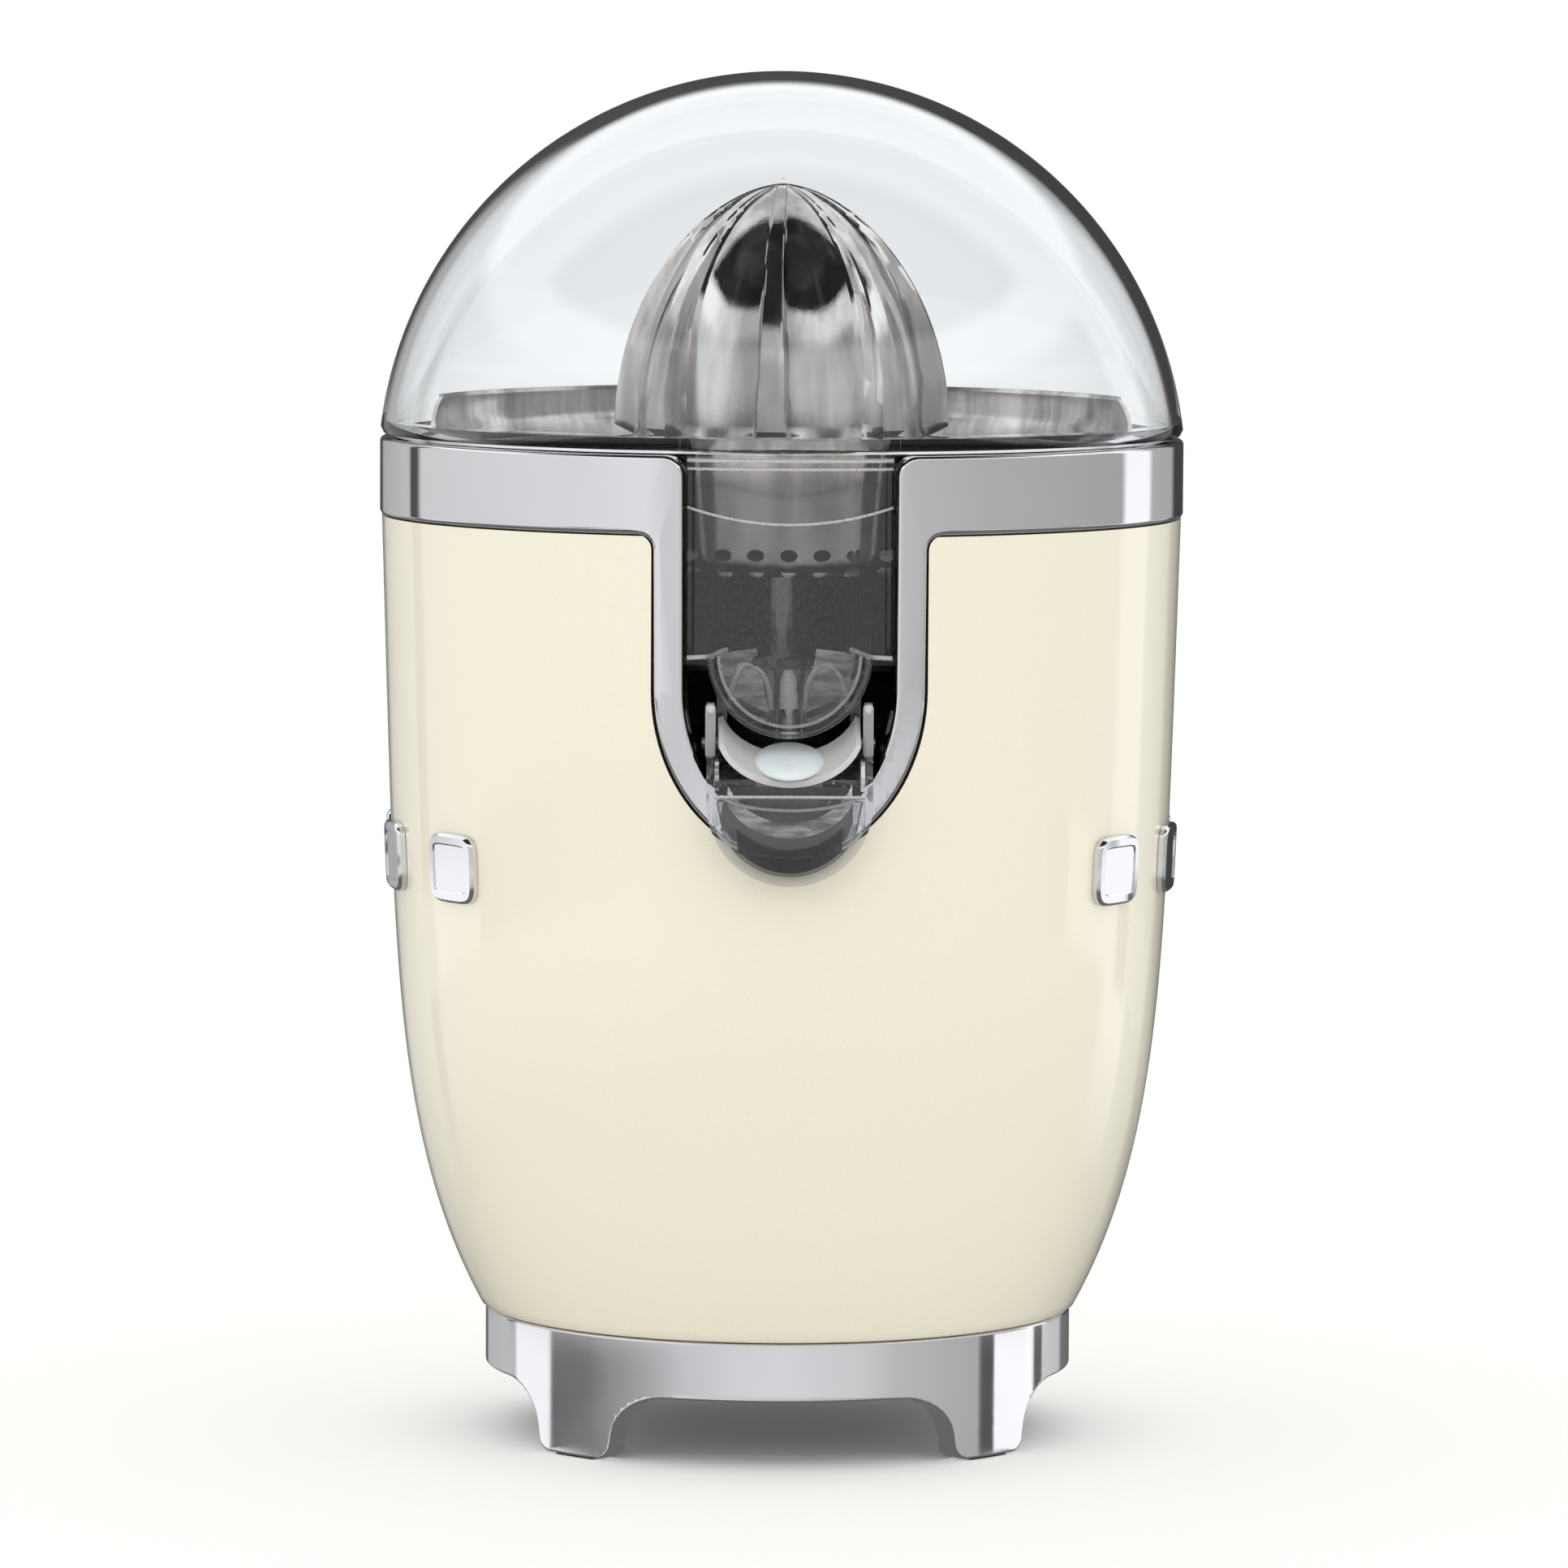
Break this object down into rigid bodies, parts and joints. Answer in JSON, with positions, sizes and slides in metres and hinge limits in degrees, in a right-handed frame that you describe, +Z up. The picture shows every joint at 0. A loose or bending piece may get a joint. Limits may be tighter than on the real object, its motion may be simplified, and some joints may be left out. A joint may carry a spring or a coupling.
{
  "type": "citrus press juicer",
  "caption": "Free-standing citrus press: reamer and strainer under a clear dome lid, juice bowl with a drip-stop spout, painted body on an arched chrome base.",
  "frame": {"origin": "on the vertical axis at the plane the feet stand on, the bottom centre of the bounding box to within 2 mm", "axes": "+Z up along the reamer's axis, -Y towards the front, where the spout is, +X to the right seen from the front"},
  "size_m": [0.165, 0.1685, 0.28],
  "materials": {
    "cream_paint": "glossy cream paint with a fine metallic fleck",
    "chrome": "polished chrome plating",
    "strainer_steel": "satin stainless steel",
    "reamer_steel": "polished stainless steel, satin towards its base",
    "screw_steel": "plain turned steel",
    "lever_steel": "zinc-plated sheet steel",
    "motor_steel": "zinc-plated drawn steel",
    "bush_bronze": "sintered bronze",
    "pinion_brass": "turned brass",
    "bowl_plastic": "clear moulded plastic, glossy",
    "lid_plastic": "clear moulded plastic with a faint blue tint",
    "spout_plastic": "clear moulded plastic, frosted at its cheeks",
    "liner_plastic": "dark grey moulded plastic",
    "base_plastic": "black moulded plastic",
    "motor_plastic": "black moulded plastic",
    "gearbox_plastic": "natural moulded plastic",
    "hub_plastic": "light grey moulded plastic",
    "nylon": "natural nylon",
    "silicone": "white silicone",
    "rubber": "black moulded rubber"
  },
  "bodies": {
    "housing": {"housing_shell": "cream_paint", "trim_ring": "chrome", "base_ring": "chrome", "base_plate": "base_plastic", "cord_inlet": "rubber", "well_liner": "liner_plastic", "shaft_bush_lower": "bush_bronze", "shaft_bush_upper": "bush_bronze", "gearbox": "gearbox_plastic", "motor_can": "motor_steel", "motor_end_cap": "motor_plastic", "motor_mount": "rubber", "compound_axle": "screw_steel", "return_spring": "screw_steel", "microswitch": "motor_plastic", "switch_lever_pin": "screw_steel", "switch_bracket": "lever_steel", "base_screw_1": "screw_steel", "base_screw_2": "screw_steel", "base_screw_3": "screw_steel", "base_screw_4": "screw_steel", "gearbox_screw_1": "screw_steel", "gearbox_screw_2": "screw_steel", "gearbox_screw_3": "screw_steel", "motor_screw_1": "screw_steel", "motor_screw_2": "screw_steel", "bracket_screw": "screw_steel", "tie_bolt_1": "screw_steel", "tie_bolt_2": "screw_steel", "tie_bolt_3": "screw_steel", "badge_stud_right_1": "chrome", "badge_stud_right_2": "chrome", "badge_stud_right_3": "chrome", "badge_stud_right_4": "chrome", "badge_stud_left_1": "chrome", "badge_stud_left_2": "chrome", "badge_stud_left_3": "chrome", "badge_stud_left_4": "chrome", "foot_pad_1": "rubber", "foot_pad_2": "rubber", "foot_pad_3": "rubber", "foot_pad_4": "rubber"},
    "plunger": {"thrust_plunger": "nylon"},
    "shaft": {"drive_shaft": "screw_steel", "output_gear": "nylon"},
    "reamer": {"reamer_cone": "reamer_steel", "reamer_hub": "hub_plastic"},
    "compound_gear": {"compound_gear": "nylon"},
    "rotor": {"rotor_shaft": "screw_steel", "motor_pinion": "pinion_brass"},
    "switch_lever": {"switch_lever": "lever_steel"},
    "bowl": {"juice_bowl": "bowl_plastic", "spout_pin_right": "screw_steel", "spout_pin_left": "screw_steel"},
    "strainer": {"strainer": "strainer_steel"},
    "lid": {"lid": "lid_plastic"},
    "spout": {"spout": "spout_plastic", "spout_seal": "silicone"}
  },
  "joints": [
    {"name": "press", "type": "slide", "parent": "housing", "child": "plunger", "axis": [0, 0, 1], "range_m": [-0.0025, 0], "stiffness_N_per_m": 4000, "springref_m": 0.0015, "deforming": ["return_spring"]},
    {"name": "shaft_spin", "type": "hinge", "parent": "plunger", "child": "shaft", "pos_m": [0, 0, 0.15], "axis": [0, 0, 1], "continuous": true},
    {"name": "compound_spin", "type": "hinge", "parent": "housing", "child": "compound_gear", "pos_m": [0, 0.0232, 0.12], "axis": [0, 0, 1], "continuous": true},
    {"name": "rotor_spin", "type": "hinge", "parent": "housing", "child": "rotor", "pos_m": [-0.0175, 0.0232, 0.11], "axis": [0, 0, 1], "continuous": true},
    {"name": "switch_lever_tilt", "type": "hinge", "parent": "housing", "child": "switch_lever", "pos_m": [0.015, 0, 0.1025], "axis": [0, 1, 0], "range_deg": [-10, 0]},
    {"name": "bowl_lift", "type": "slide", "parent": "housing", "child": "bowl", "axis": [0, 0, 1], "range_m": [0, 0.09]},
    {"name": "strainer_lift", "type": "slide", "parent": "bowl", "child": "strainer", "axis": [0, 0, 1], "range_m": [0, 0.046]},
    {"name": "reamer_lift", "type": "slide", "parent": "shaft", "child": "reamer", "axis": [0, 0, 1], "range_m": [0, 0.136]},
    {"name": "lid_lift", "type": "slide", "parent": "strainer", "child": "lid", "axis": [0, 0, 1], "range_m": [0, 0.12]},
    {"name": "spout_tilt", "type": "hinge", "parent": "bowl", "child": "spout", "pos_m": [0, -0.07, 0.1475], "axis": [-1, 0, 0], "range_deg": [0, 12]}
  ],
  "couplings": [
    {"joint": "compound_spin", "follows": "shaft_spin", "ratio": -4.8},
    {"joint": "rotor_spin", "follows": "shaft_spin", "ratio": 19.2},
    {"joint": "switch_lever_tilt", "follows": "press", "rad_per_m": 66.667},
    {"joint": "strainer_lift", "follows": "bowl_lift", "ratio": 0.5},
    {"joint": "reamer_lift", "follows": "bowl_lift", "ratio": 1.5}
  ]
}
